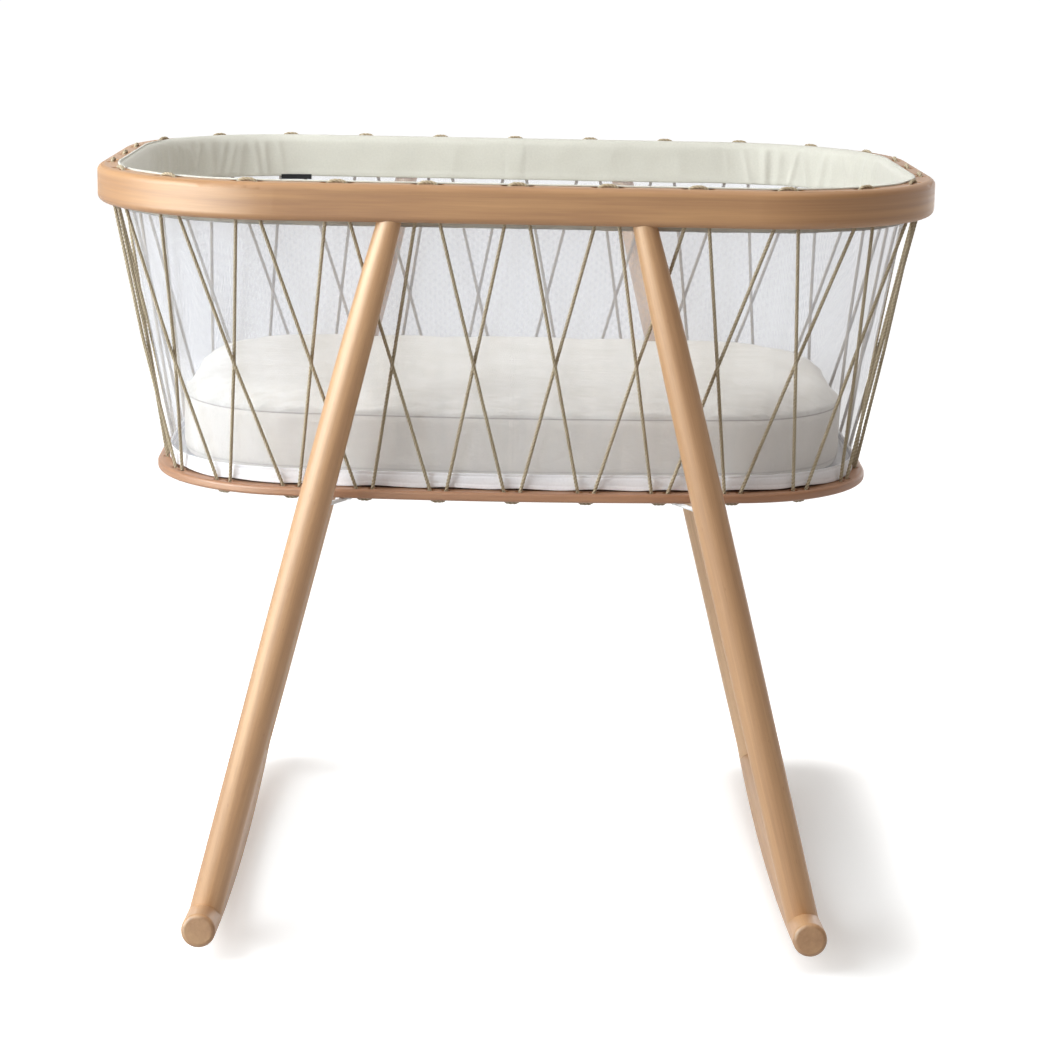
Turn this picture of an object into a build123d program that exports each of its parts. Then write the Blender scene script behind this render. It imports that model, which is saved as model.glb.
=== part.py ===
from build123d import *
import math
import os

os.makedirs("parts", exist_ok=True)

# ---------------------------------------------------------------- dimensions
# millimetres; +X is the long axis, the front is -Y, the floor is z = 0.
# An oval is given by half length, half width, side radius, end radius and
# corner radius; where its sides and ends are straight, their radius is None.

# top rim: a bent wooden hoop with a line of rope holes down its middle
RIM_TOP = 814.0
RIM_H = 38.0
RIM_W = 29.0
RIM_LINE = (430.5, 280.5, None, None, 187.0)
RIM_OUT = 14.5          # hole line to outer face
RIM_ROUND = 7.0

# bottom ring: a flat wooden hoop that carries the base panel
RING_TOP = 492.5
RING_H = 9.5
RING_LINE = (378.4, 237.5, 2336.0, 2402.0, 152.4)
RING_OUT = 10.5         # hole line to outer face
RING_IN = 19.5          # hole line to inner face
RING_ROUND = 3.0

# rope lacing
PAIRS = 28
ROPE_D = 4.0
HOLE_D = 5.2
RIM_HOLE_GAP = 23.5     # hole to hole in one stitch
RING_HOLE_GAP = 16.0
HOLE_CHAMFER = 2.5
RIM_CHAMFER = 3.3         # at the rim's top, where the stitches show
RIM_STITCH_R = 6.5      # bend where the rope turns out of a hole
RING_STITCH_R = 4.5
STITCH_LIFT = 2.05      # rope axis above the wood in a stitch
HOLE_BEND_R = 30.0      # bend where the rope leaves a hole towards its span
CROSS_OFF = 2.15        # half the distance between two rope axes at a crossing
CROSS_R = 200.0
LEG_BEND_R = 60.0       # bend where a rope passes behind a leg
LEG_GAP = 0.6

# legs and rockers
LEG_Y = 280.5
LEG_TOP_X = 128.0       # leg axis at the rim's underside
LEG_R = ((0.0, 17.2), (234.0, 17.3), (474.0, 17.0), (604.0, 16.1), (694.0, 14.5), (784.0, 11.4))
ROCKER_X = 319.0
ROCKER_D = 36.0
ROCKER_R = 2500.0       # bend radius of the rocker's axis
ROCKER_HALF = 341.0
ROCKER_END_ROUND = 4.5
TENON_TOP_D = 14.0
TENON_TOP_L = 22.0
TENON_LOW_D = 18.0
TENON_LOW_T = 7.0       # foot of the lower tenon, above the rocker's axis

# base panel and liner
PANEL_H = 5.0
PANEL_IN = 7.5          # ring hole line to panel edge
BAND_TOP = RIM_TOP + 1.9
LIP_OUT = 4.0             # rim hole line to the edge of the band's lip on the rim
BAND_BOTTOM = RIM_TOP - 47.0
BAND_T = 1.2
MESH_T = 0.8
HEM_TOP = 510.0
HEM_BOTTOM = 493.0
HEM_IN = 3.0            # ring hole line to the hem's outer side
HEM_T = 1.4
FLOOR_T = 1.0
LABEL_X = (-281.0, -244.0)
LABEL_Z = (763.0, 769.0)

# mattress
MAT_BOTTOM = 498.9
MAT_TOP = 586.0
MAT_IN = 12.5           # ring hole line to mattress side
MAT_ROUND_TOP = 20.0
MAT_ROUND_LOW = 8.0

# stays from the legs to the ring
STAY_D = 4.6
STAY_Z = 480.5
STAY_DEEP = 8.0         # how far a stay enters its leg
COLLAR_D = 10.0
EYE = (171.0, 225.5)    # eye of a stay under the ring
EYE_D = 14.0
EYE_T = 2.1

# fasteners
BOLT_HEAD_D, BOLT_HEAD_H, BOLT_HEAD_T = 9.6, 5.0, -16.0
BOLT_D, BOLT_TOP = 6.0, 48.0
LOCK_D, LOCK_L, LOCK_HEAD_D, LOCK_HEAD_H = 4.0, 22.0, 8.0, 2.4
STAY_SCREW_D, STAY_SCREW_L, STAY_HEAD_D, STAY_HEAD_H = 3.5, 10.0, 7.6, 2.3
PANEL_SCREW_D, PANEL_SCREW_L, PANEL_HEAD_D, PANEL_HEAD_H = 3.5, 13.0, 7.0, 2.2
PANEL_SCREW_AT = (1.5, 4.5, 9.5, 12.5, 15.5, 18.5, 23.5, 26.5)   # in pitches round the ring
PANEL_SCREW_IN = 13.5

RIM_BOTTOM = RIM_TOP - RIM_H
RING_BOTTOM = RING_TOP - RING_H
PANEL_TOP = RING_TOP + PANEL_H


# ------------------------------------------------------------- oval geometry
def grow(line, d):
    """The same oval, moved outwards by d (inwards when d is negative)."""
    return tuple(v if v is None else v + d for v in line)


def corner(line):
    """Centre of the corner arc at +X +Y, and the angles of its two ends."""
    a, b, ra, rb, rc = line
    if ra is None:
        return (a - rc, b - rc), 0.0, math.pi / 2
    p0, p1 = (0.0, b - ra), (a - rb, 0.0)
    r0, r1 = ra - rc, rb - rc
    dx, dy = p1[0] - p0[0], p1[1] - p0[1]
    d = math.hypot(dx, dy)
    k = (r0 * r0 - r1 * r1 + d * d) / (2 * d)
    h = math.sqrt(r0 * r0 - k * k)
    ex, ey = dx / d, dy / d
    best = max(((p0[0] + k * ex - s * h * ey, p0[1] + k * ey + s * h * ex) for s in (1, -1)), key=min)
    t_end = math.atan2(best[1] - p1[1], best[0] - p1[0])
    t_side = math.atan2(best[1] - p0[1], best[0] - p0[0])
    return best, t_end, t_side


def quarter(line):
    """The +X +Y quarter, from the end's middle to the side's middle: lengths
    of its three stretches, each with a function from arc length to point."""
    a, b, ra, rb, rc = line
    c, t0, t1 = corner(line)

    def arc(cx, cy, r, start):
        return lambda u: (cx + r * math.cos(start + u / r), cy + r * math.sin(start + u / r))

    bend = (rc * (t1 - t0), arc(c[0], c[1], rc, t0))
    if ra is None:
        return [(c[1], lambda u: (a, u)), bend, (c[0], lambda u: (c[0] - u, b))]
    return [(rb * t0, arc(a - rb, 0, rb, 0)), bend, (ra * (math.pi / 2 - t1), arc(0, b - ra, ra, t1))]


def perimeter(line):
    return 4 * sum(length for length, _ in quarter(line))


def oval_point(line, s):
    """Point at arc length s, counted from the middle of the front side (-Y)
    towards +X and on round the oval."""
    q = perimeter(line) / 4
    n, u = divmod(s % (4 * q), q)
    n = int(n) % 4
    along = q - u if n in (0, 2) else u
    for length, at in quarter(line):
        if along <= length + 1e-9:
            x, y = at(along)
            break
        along -= length
    sx, sy = ((1, -1), (1, 1), (-1, 1), (-1, -1))[n]
    return sx * x, sy * y


def draw_oval(line):
    """The oval's eight edges, in the BuildLine that is open."""
    a, b, ra, rb, rc = line
    c, t0, t1 = corner(line)

    def arc(cx, cy, r, u0, u1):
        ThreePointArc(*[(cx + r * math.cos(t), cy + r * math.sin(t)) for t in (u0, (u0 + u1) / 2, u1)])

    pi = math.pi
    for turn, sx, sy in ((0, 1, 1), (1, -1, 1), (2, -1, -1), (3, 1, -1)):
        u0, u1 = (t0, t1) if turn in (0, 2) else (pi / 2 - t1, pi / 2 - t0)
        arc(sx * c[0], sy * c[1], rc, turn * pi / 2 + u0, turn * pi / 2 + u1)
    if ra is None:
        Line((a, -c[1]), (a, c[1]))
        Line((c[0], b), (-c[0], b))
        Line((-a, c[1]), (-a, -c[1]))
        Line((-c[0], -b), (c[0], -b))
    else:
        arc(a - rb, 0, rb, -t0, t0)
        arc(0, b - ra, ra, t1, pi - t1)
        arc(rb - a, 0, rb, pi - t0, pi + t0)
        arc(0, ra - b, ra, pi + t1, 2 * pi - t1)


def hole(line, k, gap, side):
    """Centre of one rope hole of stitch k; side -1 is its left hole, 1 its right."""
    return oval_point(line, k * perimeter(line) / PAIRS + side * gap / 2)


rim_holes = [hole(RIM_LINE, k, RIM_HOLE_GAP, s) for k in range(PAIRS) for s in (-1, 1)]
ring_holes = [hole(RING_LINE, k, RING_HOLE_GAP, s) for k in range(PAIRS) for s in (-1, 1)]
print("stitch pitch: rim %.2f, ring %.2f" % (perimeter(RIM_LINE) / PAIRS, perimeter(RING_LINE) / PAIRS))


# -------------------------------------------------------------- leg geometry
foot_z = ROCKER_D / 2 + ROCKER_R - math.sqrt(ROCKER_R ** 2 - LEG_Y ** 2)   # rocker's axis under a leg
LEG_L = math.hypot(ROCKER_X - LEG_TOP_X, RIM_BOTTOM - foot_z)
LEAN_X, LEAN_Z = (ROCKER_X - LEG_TOP_X) / LEG_L, (RIM_BOTTOM - foot_z) / LEG_L
corners = {"front_left": (-1, -1), "front_right": (1, -1), "rear_left": (-1, 1), "rear_right": (1, 1)}
print("leg lean %.2f degrees, length %.1f" % (math.degrees(math.asin(LEAN_X)), LEG_L))


def leg_plane(sx, sy, t):
    """Plane square to a leg's axis, t above the rocker's axis."""
    return Plane(
        origin=(sx * (ROCKER_X - LEAN_X * t), sy * LEG_Y, foot_z + LEAN_Z * t),
        x_dir=(0, 1, 0),
        z_dir=(-sx * LEAN_X, 0, LEAN_Z),
    )


lock_z = RIM_BOTTOM + 12.0
lock_x = ROCKER_X - LEAN_X * (lock_z - foot_z) / LEAN_Z
lock_y = RIM_LINE[1] - (RIM_W - RIM_OUT)
stay_leg_x = ROCKER_X - LEAN_X * (STAY_Z - foot_z) / LEAN_Z      # leg axis at the stays' height
stay_run = math.hypot(stay_leg_x - EYE[0], LEG_Y - EYE[1])
stay_dx, stay_dy = (EYE[0] - stay_leg_x) / stay_run, (EYE[1] - LEG_Y) / stay_run
STAY_LEG_R = 17.1


def lock_plane(sx, sy, d):
    """Plane square to a lock screw, d outwards from its head's face."""
    return Plane(origin=(sx * lock_x, sy * (lock_y + d), lock_z), x_dir=(1, 0, 0), z_dir=(0, sy, 0))


def stay_plane(sx, sy, d):
    """Plane square to a stay, d from the leg's axis towards the ring."""
    return Plane(
        origin=(sx * (stay_leg_x + stay_dx * d), sy * (LEG_Y + stay_dy * d), STAY_Z),
        x_dir=(0, 0, 1),
        z_dir=(sx * stay_dx, sy * stay_dy, 0),
    )


# ----------------------------------------------------------------- fasteners
with BuildPart() as bolt_blanks:
    for sx, sy in corners.values():
        with BuildSketch(leg_plane(sx, sy, BOLT_HEAD_T)):
            Circle(BOLT_HEAD_D / 2)
        extrude(amount=BOLT_HEAD_H)
        with BuildSketch(leg_plane(sx, sy, BOLT_HEAD_T + BOLT_HEAD_H)):
            Circle(BOLT_D / 2)
        extrude(amount=BOLT_TOP - BOLT_HEAD_T - BOLT_HEAD_H)

with BuildPart() as rocker_bolts:
    add(bolt_blanks.part)
    for sx, sy in corners.values():
        with BuildSketch(leg_plane(sx, sy, BOLT_HEAD_T)):
            RegularPolygon(2.5, 6, major_radius=False)
        extrude(amount=3.0, mode=Mode.SUBTRACT)
rocker_bolts.part.label = "rocker_bolts"

with BuildPart() as lock_blanks:
    for sx, sy in corners.values():
        with BuildSketch(lock_plane(sx, sy, 0)):
            Circle(LOCK_HEAD_D / 2)
        extrude(amount=LOCK_HEAD_H, taper=math.degrees(math.atan((LOCK_HEAD_D - LOCK_D) / 2 / LOCK_HEAD_H)))
        with BuildSketch(lock_plane(sx, sy, LOCK_HEAD_H)):
            Circle(LOCK_D / 2)
        extrude(amount=LOCK_L - LOCK_HEAD_H)

with BuildPart() as leg_lock_screws:
    add(lock_blanks.part)
    for sx, sy in corners.values():
        with BuildSketch(lock_plane(sx, sy, 0)):
            Rectangle(4.2, 0.9)
            Rectangle(0.9, 4.2)
        extrude(amount=1.5, mode=Mode.SUBTRACT)
leg_lock_screws.part.label = "leg_lock_screws"

stay_eyes = [(sx * EYE[0], sy * EYE[1]) for sx, sy in corners.values()]
EYE_LOW = RING_BOTTOM - EYE_T
with BuildPart() as stay_screws:
    with BuildSketch(Plane.XY.offset(EYE_LOW - STAY_HEAD_H)):
        with Locations(*stay_eyes):
            Circle(STAY_HEAD_D / 2)
    extrude(amount=STAY_HEAD_H)
    fillet(stay_screws.edges().group_by(Axis.Z)[0], 1.2)
    with BuildSketch(Plane.XY.offset(EYE_LOW)):
        with Locations(*stay_eyes):
            Circle(STAY_SCREW_D / 2)
    extrude(amount=STAY_SCREW_L)
    with BuildSketch(Plane.XY.offset(EYE_LOW - STAY_HEAD_H)):
        with Locations(*stay_eyes):
            Rectangle(3.6, 0.8)
            Rectangle(0.8, 3.6)
    extrude(amount=1.2, mode=Mode.SUBTRACT)
stay_screws.part.label = "stay_screws"

panel_screw_at = [
    oval_point(grow(RING_LINE, -PANEL_SCREW_IN), n * perimeter(grow(RING_LINE, -PANEL_SCREW_IN)) / PAIRS)
    for n in PANEL_SCREW_AT
]
with BuildPart() as screw_blanks:
    with BuildSketch(Plane.XY.offset(PANEL_TOP - PANEL_SCREW_L)):
        with Locations(*panel_screw_at):
            Circle(PANEL_SCREW_D / 2)
    extrude(amount=PANEL_SCREW_L - PANEL_HEAD_H)
    for x, y in panel_screw_at:
        with BuildSketch(Plane(origin=(x, y, PANEL_TOP), x_dir=(1, 0, 0), z_dir=(0, 0, -1))):
            Circle(PANEL_HEAD_D / 2)
        extrude(
            amount=PANEL_HEAD_H,
            taper=math.degrees(math.atan((PANEL_HEAD_D - PANEL_SCREW_D) / 2 / PANEL_HEAD_H)),
        )

with BuildPart() as panel_screws:
    add(screw_blanks.part)
    with BuildSketch(Plane.XY.offset(PANEL_TOP - 1.2)):
        with Locations(*panel_screw_at):
            Rectangle(3.4, 0.8)
            Rectangle(0.8, 3.4)
    extrude(amount=1.2, mode=Mode.SUBTRACT)
panel_screws.part.label = "panel_screws"


# ----------------------------------------------------------------- top rim
with BuildPart() as rim_blank:
    with BuildSketch(Plane.XY.offset(RIM_BOTTOM)):
        with BuildLine():
            draw_oval(grow(RIM_LINE, RIM_OUT))
        make_face()
        with BuildLine():
            draw_oval(grow(RIM_LINE, RIM_OUT - RIM_W))
        make_face(mode=Mode.SUBTRACT)
    extrude(amount=RIM_H)
    fillet(rim_blank.edges().group_by(Axis.Z)[0] + rim_blank.edges().group_by(Axis.Z)[-1], RIM_ROUND)

with BuildPart() as rim:
    add(rim_blank.part)
    # a stepped hole for each pass of the rope, eased at both faces
    with Locations(*[Location((x, y, RIM_TOP)) for x, y in rim_holes]):
        CounterSinkHole(HOLE_D / 2, HOLE_D / 2 + RIM_CHAMFER, depth=RIM_H, counter_sink_angle=90)
    with Locations(*[Location((x, y, RIM_BOTTOM), (180, 0, 0)) for x, y in rim_holes]):
        CounterSinkHole(HOLE_D / 2, HOLE_D / 2 + HOLE_CHAMFER, depth=RIM_H / 2, counter_sink_angle=90)
    # blind holes for the legs' tenons
    for sx, sy in corners.values():
        with BuildSketch(leg_plane(sx, sy, LEG_L - 8)):
            Circle(TENON_TOP_D / 2)
        extrude(amount=TENON_TOP_L + 8, mode=Mode.SUBTRACT)
    add(lock_blanks.part, mode=Mode.SUBTRACT)
rim.part.label = "rim"


# ------------------------------------------------------------- bottom ring
with BuildPart() as base_ring:
    with BuildSketch(Plane.XY.offset(RING_BOTTOM)):
        with BuildLine():
            draw_oval(grow(RING_LINE, RING_OUT))
        make_face()
        with BuildLine():
            draw_oval(grow(RING_LINE, -RING_IN))
        make_face(mode=Mode.SUBTRACT)
    extrude(amount=RING_H)
    fillet(base_ring.edges().group_by(Axis.Z)[0] + base_ring.edges().group_by(Axis.Z)[-1], RING_ROUND)
    with Locations(*[Location((x, y, RING_TOP)) for x, y in ring_holes]):
        CounterSinkHole(HOLE_D / 2, HOLE_D / 2 + HOLE_CHAMFER, depth=RING_H, counter_sink_angle=90)
    with Locations(*[Location((x, y, RING_BOTTOM), (180, 0, 0)) for x, y in ring_holes]):
        CounterSinkHole(HOLE_D / 2, HOLE_D / 2 + HOLE_CHAMFER, depth=RING_H / 2, counter_sink_angle=90)
    add(screw_blanks.part, mode=Mode.SUBTRACT)
    with BuildSketch(Plane.XY.offset(RING_BOTTOM)):
        with Locations(*stay_eyes):
            Circle(STAY_SCREW_D / 2)
    extrude(amount=STAY_SCREW_L - EYE_T, mode=Mode.SUBTRACT)
base_ring.part.label = "base_ring"

with BuildPart() as base_panel:
    with BuildSketch(Plane.XY.offset(RING_TOP)):
        with BuildLine():
            draw_oval(grow(RING_LINE, -PANEL_IN))
        make_face()
    extrude(amount=PANEL_H)
    chamfer(base_panel.edges().group_by(Axis.Z)[-1], 0.8)
    add(screw_blanks.part, mode=Mode.SUBTRACT)
base_panel.part.label = "base_panel"


# ------------------------------------------------------------------ rockers
with BuildPart() as blank:
    # a round bar, bent upwards towards both ends
    half = math.asin(ROCKER_HALF / ROCKER_R)
    centre = Vector(-ROCKER_X, 0, ROCKER_D / 2 + ROCKER_R)
    with BuildSketch(Plane(
        origin=centre + Vector(0, -math.sin(half), -math.cos(half)) * ROCKER_R,
        x_dir=(1, 0, 0),
        z_dir=(0, math.cos(half), -math.sin(half)),
    )):
        Circle(ROCKER_D / 2)
    revolve(axis=Axis(tuple(centre), (1, 0, 0)), revolution_arc=2 * math.degrees(half))
    fillet(blank.edges().group_by(Axis.Y)[0] + blank.edges().group_by(Axis.Y)[-1], ROCKER_END_ROUND)
rocker_blanks = {"left": blank.part, "right": mirror(blank.part, about=Plane.YZ)}

with BuildPart() as rocker:
    add(rocker_blanks["left"])
    for sy in (-1, 1):
        # socket for the leg's lower tenon, and a recess for its bolt from beneath
        with BuildSketch(leg_plane(-1, sy, TENON_LOW_T)):
            Circle(TENON_LOW_D / 2)
        extrude(amount=20, mode=Mode.SUBTRACT)
        with BuildSketch(leg_plane(-1, sy, BOLT_HEAD_T)):
            Circle(BOLT_D / 2)
        extrude(amount=30, mode=Mode.SUBTRACT)
        with BuildSketch(leg_plane(-1, sy, BOLT_HEAD_T + BOLT_HEAD_H)):
            Circle(BOLT_HEAD_D / 2)
        extrude(amount=-16, mode=Mode.SUBTRACT)
rockers = {"left": rocker.part, "right": mirror(rocker.part, about=Plane.YZ)}
for side, shape in rockers.items():
    shape.label = "rocker_" + side


# --------------------------------------------------------------------- legs
legs = {}
for name, (sx, sy) in corners.items():
    foot = leg_plane(sx, sy, 0)
    with BuildPart() as leg:
        # local x runs across the leg, local y up its axis
        with BuildSketch(Plane(origin=foot.origin, x_dir=(0, 1, 0), z_dir=(LEAN_Z, 0, sx * LEAN_X))):
            with BuildLine():
                Spline(*[(r, t) for t, r in LEG_R])
                Polyline((LEG_R[-1][1], LEG_R[-1][0]), (0, LEG_R[-1][0]), (0, 0), (LEG_R[0][1], 0))
            make_face()
        revolve(axis=Axis(foot.origin, foot.z_dir))
        split(bisect_by=Plane.XY.offset(RIM_BOTTOM + 4.0), keep=Keep.BOTTOM)
        # the ends are scribed to the rim's underside and to the round rocker
        add(rim_blank.part, mode=Mode.SUBTRACT)
        add(rocker_blanks["left" if sx < 0 else "right"], mode=Mode.SUBTRACT)
        with BuildSketch(leg_plane(sx, sy, LEG_L - 12)):
            Circle(TENON_TOP_D / 2)
        extrude(amount=12 + TENON_TOP_L)
        with BuildSketch(leg_plane(sx, sy, TENON_LOW_T)):
            Circle(TENON_LOW_D / 2)
        extrude(amount=20)
        with BuildSketch(foot):
            Circle(BOLT_D / 2)
        extrude(amount=BOLT_TOP, mode=Mode.SUBTRACT)
        add(lock_blanks.part, mode=Mode.SUBTRACT)
        with BuildSketch(stay_plane(sx, sy, STAY_LEG_R - STAY_DEEP)):
            Circle(STAY_D / 2)
        extrude(amount=STAY_DEEP + 8, mode=Mode.SUBTRACT)
    leg.part.label = "leg_" + name
    legs[name] = leg.part


# --------------------------------------------------------------------- stays
sx, sy = corners["front_left"]
with BuildPart() as stay:
    # collar, scribed to the leg
    with BuildSketch(stay_plane(sx, sy, STAY_LEG_R - 4)):
        Circle(COLLAR_D / 2)
    extrude(amount=8.0, taper=6)
    add(legs["front_left"], mode=Mode.SUBTRACT)
    with BuildSketch(stay_plane(sx, sy, STAY_LEG_R - 5)):
        Circle(STAY_D / 2)
    extrude(amount=10.0, mode=Mode.SUBTRACT)
    # rod, from the leg's hole to the eye
    with BuildSketch(stay_plane(sx, sy, STAY_LEG_R - STAY_DEEP)):
        Circle(STAY_D / 2)
    extrude(amount=stay_run - 5.0 - (STAY_LEG_R - STAY_DEEP))
    # eye under the ring
    with BuildSketch(Plane.XY.offset(EYE_LOW)):
        with Locations((sx * EYE[0], sy * EYE[1])):
            Circle(EYE_D / 2)
    extrude(amount=EYE_T)
    with BuildSketch(Plane.XY.offset(EYE_LOW)):
        with Locations((sx * EYE[0], sy * EYE[1])):
            Circle(STAY_SCREW_D / 2)
    extrude(amount=EYE_T, mode=Mode.SUBTRACT)
    with BuildSketch(Plane.XY.offset(EYE_LOW - STAY_HEAD_H)):
        with Locations((sx * EYE[0], sy * EYE[1])):
            Circle(STAY_HEAD_D / 2 + 0.4)
    extrude(amount=STAY_HEAD_H, mode=Mode.SUBTRACT)
stay.part.label = "stay_front_left"
stays = {"front_left": stay.part}
for name, like, about in (
    ("front_right", "front_left", Plane.YZ),
    ("rear_left", "front_left", Plane.XZ),
    ("rear_right", "front_right", Plane.XZ),
):
    with BuildPart() as other:
        mirror(stays[like], about=about)
    other.part.label = "stay_" + name
    stays[name] = other.part


# -------------------------------------------------------------------- lacing
def closest(p, q, r, s):
    """Closest points of the lines p-q and r-s, and their common normal."""
    u, v, w = q - p, s - r, p - r
    a, b, c, d, e = u.dot(u), u.dot(v), v.dot(v), u.dot(w), v.dot(w)
    k = a * c - b * b
    return p + u * ((b * e - c * d) / k), r + v * ((a * e - b * d) / k), u.cross(v).normalized()


def rim_end(k, side):
    x, y = hole(RIM_LINE, k, RIM_HOLE_GAP, side)
    return Vector(x, y, RIM_BOTTOM + HOLE_CHAMFER)


def ring_end(k, side):
    x, y = hole(RING_LINE, k, RING_HOLE_GAP, side)
    return Vector(x, y, RING_TOP - HOLE_CHAMFER)


def crossing(k, out):
    """Corner of a span where it passes its neighbour between stitches k and k + 1."""
    m, n, across = closest(rim_end(k, 1), ring_end(k + 1, -1), rim_end(k + 1, -1), ring_end(k, 1))
    mid = (m + n) * 0.5
    if across.dot(Vector(mid.X, mid.Y, 0)) < 0:
        across = across * -1
    return mid + across * (CROSS_OFF * out)


def leg_radius(t):
    for (t0, r0), (t1, r1) in zip(LEG_R, LEG_R[1:]):
        if t <= t1:
            return r0 + (r1 - r0) * (t - t0) / (t1 - t0)
    return LEG_R[-1][1]


def behind_leg(p, q):
    """Corner that leads the span p-q round the inner side of a leg, if it
    would run into one."""
    for sx, sy in corners.values():
        foot = Vector(sx * ROCKER_X, sy * LEG_Y, foot_z)
        up = Vector(-sx * LEAN_X, 0, LEAN_Z)
        on_leg, on_rope, across = closest(foot, foot + up * LEG_L, p, q)
        if across.Y * sy > 0:
            across = across * -1
        room = leg_radius((on_leg - foot).dot(up)) + ROPE_D / 2 + LEG_GAP
        if (on_rope - on_leg).length < room and p.Z > on_rope.Z > q.Z:
            return [on_leg + across * room]
    return []


def span(k, side, out):
    """Corners and radii of the span that leaves rim stitch k's hole downwards,
    to the ring stitch on that side, from rim to ring."""
    p, q = rim_end(k, side), ring_end(k + side, -side)
    bend = behind_leg(p, q)
    mid = crossing(k if side > 0 else k - 1, out)
    return [p] + bend + [mid, q], [HOLE_BEND_R] + [LEG_BEND_R] * len(bend) + [CROSS_R, HOLE_BEND_R]


def lacing_route(first):
    """Corners and bend radii of one rope: over every other rim stitch, under
    the ring stitches between them. Its two ends meet in the middle of a rim
    hole at the back, hidden in the wood."""
    top, low = RIM_TOP + STITCH_LIFT, RING_BOTTOM - STITCH_LIFT
    start = PAIRS // 2 + first
    points, radii = [], []
    for k in range(start, start + PAIRS, 2):
        down, down_r = span(k, 1, 1)
        up, up_r = span(k + 2, -1, -1)
        a, b, c, d = rim_end(k, -1), down[0], down[-1], up[-1]
        points += [Vector(a.X, a.Y, top), Vector(b.X, b.Y, top)] + down
        points += [Vector(c.X, c.Y, low), Vector(d.X, d.Y, low)] + up[::-1]
        radii += [RIM_STITCH_R] * 2 + down_r + [RING_STITCH_R] * 2 + up_r[::-1]
    joint = Vector(points[0].X, points[0].Y, RIM_BOTTOM + 20)
    return [joint + Vector(0, 0, 0.2)] + points + [joint - Vector(0, 0, 0.2)], radii


ropes = {}
for name, first in (("lacing_even", 0), ("lacing_odd", 1)):
    points, radii = lacing_route(first)
    with BuildPart() as rope:
        with BuildLine() as route:
            FilletPolyline(*points, radius=radii)
        with BuildSketch(Plane(origin=points[0], z_dir=points[1] - points[0])):
            Circle(ROPE_D / 2)
        sweep()
    rope.part.label = name
    ropes[name] = rope.part
    run = sum(e.length for e in route.edges())
    print("%s: length %.0f, volume %.0f of %.0f" % (name, run, rope.part.volume, run * math.pi * ROPE_D ** 2 / 4))


# --------------------------------------------------------------------- liner
def shell(label, low, low_line, high, high_line, thick):
    """Closed wall between two heights, thick measured inwards."""
    with BuildPart() as wall:
        for inward, mode in ((0, Mode.ADD), (thick, Mode.SUBTRACT)):
            with BuildSketch(Plane.XY.offset(low)) as low_face:
                with BuildLine():
                    draw_oval(grow(low_line, -inward))
                make_face()
            with BuildSketch(Plane.XY.offset(high)) as high_face:
                with BuildLine():
                    draw_oval(grow(high_line, -inward))
                make_face()
            loft(sections=[low_face.sketch.face(), high_face.sketch.face()], ruled=True, mode=mode)
    wall.part.label = label
    return wall.part


band_line = grow(RIM_LINE, RIM_OUT - RIM_W - 0.1)
hem_line = grow(RING_LINE, -HEM_IN)
band_wall = shell("band_wall", BAND_BOTTOM, band_line, BAND_TOP, band_line, BAND_T)
with BuildPart() as band:
    add(band_wall)
    # the band's top edge turns outwards and lies on the rim
    with BuildSketch(Plane.XY.offset(RIM_TOP + 0.1)):
        with BuildLine():
            draw_oval(grow(RIM_LINE, -LIP_OUT))
        make_face()
        with BuildLine():
            draw_oval(grow(band_line, -BAND_T / 2))
        make_face(mode=Mode.SUBTRACT)
    extrude(amount=BAND_TOP - RIM_TOP - 0.1)
band.part.label = "liner_band"
liner_band = band.part
liner_hem = shell("liner_hem", HEM_BOTTOM, hem_line, HEM_TOP, hem_line, HEM_T)
liner_mesh = shell("liner_mesh", HEM_TOP, grow(hem_line, -0.2), BAND_BOTTOM, grow(band_line, -0.2), MESH_T)

with BuildPart() as liner_floor:
    with BuildSketch(Plane.XY.offset(PANEL_TOP)):
        with BuildLine():
            draw_oval(grow(hem_line, -HEM_T - 0.2))
        make_face()
    extrude(amount=FLOOR_T)
liner_floor.part.label = "liner_floor"

# maker's tab, blank: sewn to the band's lower edge at the back left
with BuildPart() as label_tab:
    with BuildSketch(Plane.XY.offset(LABEL_Z[0])):
        with BuildLine():
            draw_oval(grow(band_line, -BAND_T - 0.7))
        make_face()
        with BuildLine():
            draw_oval(grow(band_line, -BAND_T - 1.4))
        make_face(mode=Mode.SUBTRACT)
        with Locations(((LABEL_X[0] + LABEL_X[1]) / 2, 250)):
            Rectangle(LABEL_X[1] - LABEL_X[0], 60, mode=Mode.INTERSECT)
    extrude(amount=LABEL_Z[1] - LABEL_Z[0])
label_tab.part.label = "label_tab"


# ------------------------------------------------------------------ mattress
with BuildPart() as mattress:
    with BuildSketch(Plane.XY.offset(MAT_BOTTOM)):
        with BuildLine():
            draw_oval(grow(RING_LINE, -MAT_IN))
        make_face()
    extrude(amount=MAT_TOP - MAT_BOTTOM)
    fillet(mattress.edges().group_by(Axis.Z)[-1], MAT_ROUND_TOP)
    fillet(mattress.edges().group_by(Axis.Z)[0], MAT_ROUND_LOW)
mattress.part.label = "mattress"


# -------------------------------------------------------------------- export
pieces = [
    rim.part,
    base_ring.part,
    base_panel.part,
    *legs.values(),
    *rockers.values(),
    *stays.values(),
    *ropes.values(),
    rocker_bolts.part,
    leg_lock_screws.part,
    stay_screws.part,
    panel_screws.part,
    liner_band,
    liner_mesh,
    liner_hem,
    liner_floor.part,
    label_tab.part,
    mattress.part,
]
for piece in pieces:
    export_step(piece, "parts/" + piece.label + ".step")
    print("%-18s solids %2d  volume %.1f" % (piece.label, len(piece.solids()), piece.volume))
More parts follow.
